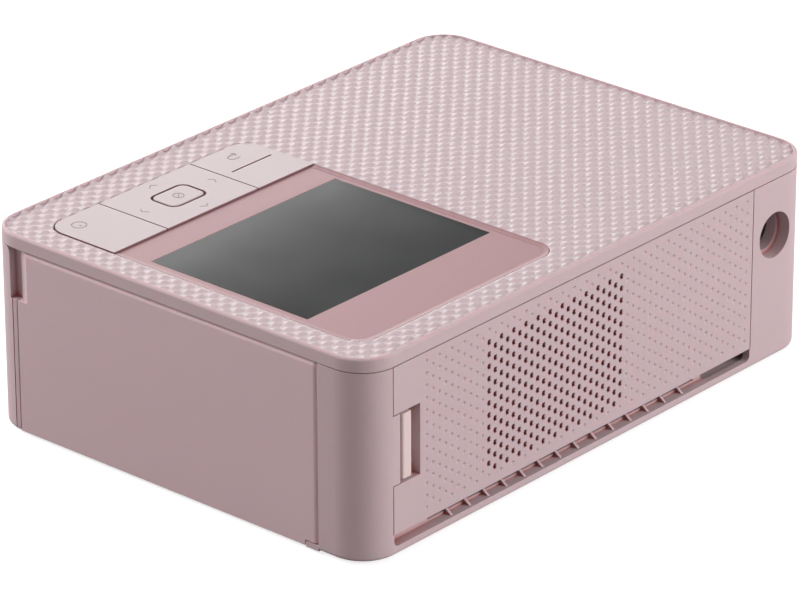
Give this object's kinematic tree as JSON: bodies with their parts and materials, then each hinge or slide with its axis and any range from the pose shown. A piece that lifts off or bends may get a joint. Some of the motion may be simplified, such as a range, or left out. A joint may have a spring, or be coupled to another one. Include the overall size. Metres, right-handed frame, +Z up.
{
  "type": "compact photo printer",
  "caption": "Low rounded-box photo printer with a display and keys in its top, a side door for ribbon, a vented rear cover and rollers, gears and a thermal head inside.",
  "frame": {"origin": "middle of the bounding box's underside, on the table under the feet", "axes": "+Z up, +X towards the side with the ink door, +Y towards the rear with the vents; the user is on the -Y side"},
  "size_m": [0.1822, 0.133, 0.0576],
  "materials": {
    "casing_plastic": "fine spark-eroded texture",
    "top_plastic": "deep moulded relief",
    "panel_plastic": "smooth satin",
    "display_glass": "smooth black-backed window",
    "display_metal": "rolled",
    "circuit_board": "solder mask",
    "black_plastic": "moulded",
    "steel_sheet": "zinc plated",
    "turned_steel": "ground",
    "black_rubber": "matte",
    "silicone": "matte",
    "gear_plastic": "moulded acetal",
    "guide_plastic": "moulded",
    "bush_plastic": "moulded acetal",
    "sink_aluminium": "extruded",
    "head_ceramic": null
  },
  "bodies": {
    "casing": {"bottom_case": "casing_plastic", "top_cover": "top_plastic", "feet": "black_rubber", "case_screws": "turned_steel", "display_bezel": "panel_plastic", "lcd_window": "display_glass", "lcd_module": "display_metal", "key_board": "circuit_board", "dc_jack": "black_plastic", "main_board": "circuit_board", "card_board": "circuit_board", "card_reader": "display_metal", "usb_socket": "display_metal", "left_side_plate": "steel_sheet", "right_side_plate": "steel_sheet", "gear_plate": "steel_sheet", "gear_plate_spacers": "turned_steel", "idler_axles": "turned_steel", "top_stay": "steel_sheet", "rear_stay": "steel_sheet", "paper_guide": "guide_plastic", "roller_bushes": "bush_plastic", "feed_motor": "steel_sheet", "ribbon_motor": "steel_sheet", "head_pivot_shaft": "turned_steel", "pick_up_shaft": "turned_steel", "fan_frame": "black_plastic", "lever_pin_rivet": "turned_steel"},
    "ink_door": {"ink_door": "casing_plastic", "door_hinge_pins": "turned_steel"},
    "paper_slot_cover": {"paper_slot_cover": "casing_plastic", "flap_hinge_pins": "turned_steel"},
    "rear_cover": {"rear_cover": "casing_plastic"},
    "cover_latch": {"cover_latch": "casing_plastic"},
    "power_key": {"power_key": "panel_plastic"},
    "ok_key": {"ok_key": "panel_plastic"},
    "print_back_key": {"print_back_key": "panel_plastic"},
    "nav_mat": {"nav_key_mat": "silicone"},
    "nav_plate": {"nav_plate": "panel_plastic"},
    "eject_lever": {"cassette_eject_lever": "guide_plastic"},
    "head": {"head_arm": "steel_sheet", "head_heat_sink": "sink_aluminium", "thermal_head": "head_ceramic"},
    "platen": {"platen_shaft": "turned_steel", "platen_rubber": "black_rubber", "platen_gear": "gear_plastic"},
    "grip": {"grip_roller": "turned_steel", "grip_gear": "gear_plastic"},
    "pinch": {"pinch_roller": "turned_steel"},
    "platen_idler": {"platen_idler_gear": "gear_plastic"},
    "feed_idler": {"feed_idler_gear": "gear_plastic"},
    "feed_pinion": {"feed_pinion": "gear_plastic"},
    "take_up": {"take_up_spindle": "guide_plastic", "take_up_gear": "gear_plastic"},
    "ribbon_pinion": {"ribbon_pinion": "gear_plastic"},
    "supply": {"supply_spindle": "guide_plastic"},
    "pick_arm": {"pick_up_arm": "guide_plastic"},
    "pick_roller": {"pick_up_roller": "black_rubber"},
    "fan": {"fan_rotor": "black_plastic"}
  },
  "joints": [
    {"name": "ink_door_hinge", "type": "hinge", "parent": "casing", "child": "ink_door", "pos_m": [0.0898, 0.0486, 0.02675], "axis": [0, 0, 1], "range_deg": [0, 100]},
    {"name": "paper_slot_cover_hinge", "type": "hinge", "parent": "casing", "child": "paper_slot_cover", "pos_m": [0.0101, -0.0653, 0.003], "axis": [1, 0, 0], "range_deg": [0, 90]},
    {"name": "rear_cover_hinge", "type": "hinge", "parent": "casing", "child": "rear_cover", "pos_m": [-0.06538, 0.0665, 0.0068], "axis": [0, 0, 1], "range_deg": [0, 30]},
    {"name": "cover_latch_slide", "type": "slide", "parent": "rear_cover", "child": "cover_latch", "axis": [-1, 0, 0], "range_m": [0, 0.0018], "stiffness_N_per_m": 600},
    {"name": "power_key_press", "type": "slide", "parent": "casing", "child": "power_key", "axis": [0, 0, -1], "range_m": [0, 0.0005], "stiffness_N_per_m": 1500},
    {"name": "ok_key_press", "type": "slide", "parent": "casing", "child": "ok_key", "axis": [0, 0, -1], "range_m": [0, 0.0005], "stiffness_N_per_m": 1500},
    {"name": "print_back_rock", "type": "hinge", "parent": "casing", "child": "print_back_key", "pos_m": [0.01495, -0.0417, 0.0559], "axis": [1, 0, 0], "range_deg": [-1.5, 1.5], "stiffness_Nm_per_rad": 0.2},
    {"name": "nav_rock_x", "type": "hinge", "parent": "casing", "child": "nav_mat", "pos_m": [0.0436, -0.0417, 0.0559], "axis": [1, 0, 0], "range_deg": [-1.5, 1.5], "stiffness_Nm_per_rad": 0.2},
    {"name": "nav_rock_y", "type": "hinge", "parent": "nav_mat", "child": "nav_plate", "pos_m": [0.0436, -0.0417, 0.0559], "axis": [0, 1, 0], "range_deg": [-1.2, 1.2], "stiffness_Nm_per_rad": 0.2},
    {"name": "eject_lever_turn", "type": "hinge", "parent": "casing", "child": "eject_lever", "pos_m": [0.0668, -0.0285, 0.012], "axis": [1, 0, 0], "range_deg": [0, 20], "stiffness_Nm_per_rad": 0.02},
    {"name": "head_lift", "type": "hinge", "parent": "casing", "child": "head", "pos_m": [0.0101, 0.04, 0.0435], "axis": [1, 0, 0], "range_deg": [0, 3.8], "stiffness_Nm_per_rad": 2, "springref_deg": -1.15},
    {"name": "grip_spin", "type": "hinge", "parent": "casing", "child": "grip", "pos_m": [0.0101, 0.024, 0.0101], "axis": [1, 0, 0], "continuous": true},
    {"name": "platen_spin", "type": "hinge", "parent": "casing", "child": "platen", "pos_m": [0.0101, 0.006, 0.0095], "axis": [1, 0, 0], "continuous": true},
    {"name": "pinch_spin", "type": "hinge", "parent": "casing", "child": "pinch", "pos_m": [0.0101, 0.024, 0.016], "axis": [1, 0, 0], "continuous": true},
    {"name": "platen_idler_spin", "type": "hinge", "parent": "casing", "child": "platen_idler", "pos_m": [-0.0514, 0.01435, 0.01737], "axis": [1, 0, 0], "continuous": true},
    {"name": "feed_idler_spin", "type": "hinge", "parent": "casing", "child": "feed_idler", "pos_m": [-0.0514, 0.03821, 0.01673], "axis": [1, 0, 0], "continuous": true},
    {"name": "feed_pinion_spin", "type": "hinge", "parent": "casing", "child": "feed_pinion", "pos_m": [-0.0514, 0.04052, 0.02981], "axis": [1, 0, 0], "continuous": true},
    {"name": "take_up_spin", "type": "hinge", "parent": "casing", "child": "take_up", "pos_m": [-0.0514, -0.012, 0.033], "axis": [1, 0, 0], "continuous": true},
    {"name": "ribbon_pinion_spin", "type": "hinge", "parent": "casing", "child": "ribbon_pinion", "pos_m": [-0.0514, -0.02391, 0.03734], "axis": [1, 0, 0], "continuous": true},
    {"name": "supply_spin", "type": "hinge", "parent": "casing", "child": "supply", "pos_m": [-0.0514, 0.026, 0.033], "axis": [1, 0, 0], "continuous": true},
    {"name": "pick_arm_swing", "type": "hinge", "parent": "casing", "child": "pick_arm", "pos_m": [0.0101, -0.027, 0.024], "axis": [1, 0, 0], "range_deg": [0, 12], "stiffness_Nm_per_rad": 0.05},
    {"name": "pick_roller_spin", "type": "hinge", "parent": "pick_arm", "child": "pick_roller", "pos_m": [0.0101, -0.042, 0.017], "axis": [1, 0, 0], "continuous": true},
    {"name": "fan_spin", "type": "hinge", "parent": "casing", "child": "fan", "pos_m": [0.0168, 0.0472, 0.02915], "axis": [0, 1, 0], "continuous": true}
  ],
  "couplings": [
    {"joint": "platen_idler_spin", "follows": "grip_spin", "ratio": -1},
    {"joint": "platen_spin", "follows": "grip_spin", "ratio": 1.1111},
    {"joint": "feed_idler_spin", "follows": "grip_spin", "ratio": -0.625},
    {"joint": "feed_pinion_spin", "follows": "grip_spin", "ratio": 1.6667},
    {"joint": "ribbon_pinion_spin", "follows": "take_up_spin", "ratio": -2.5}
  ]
}
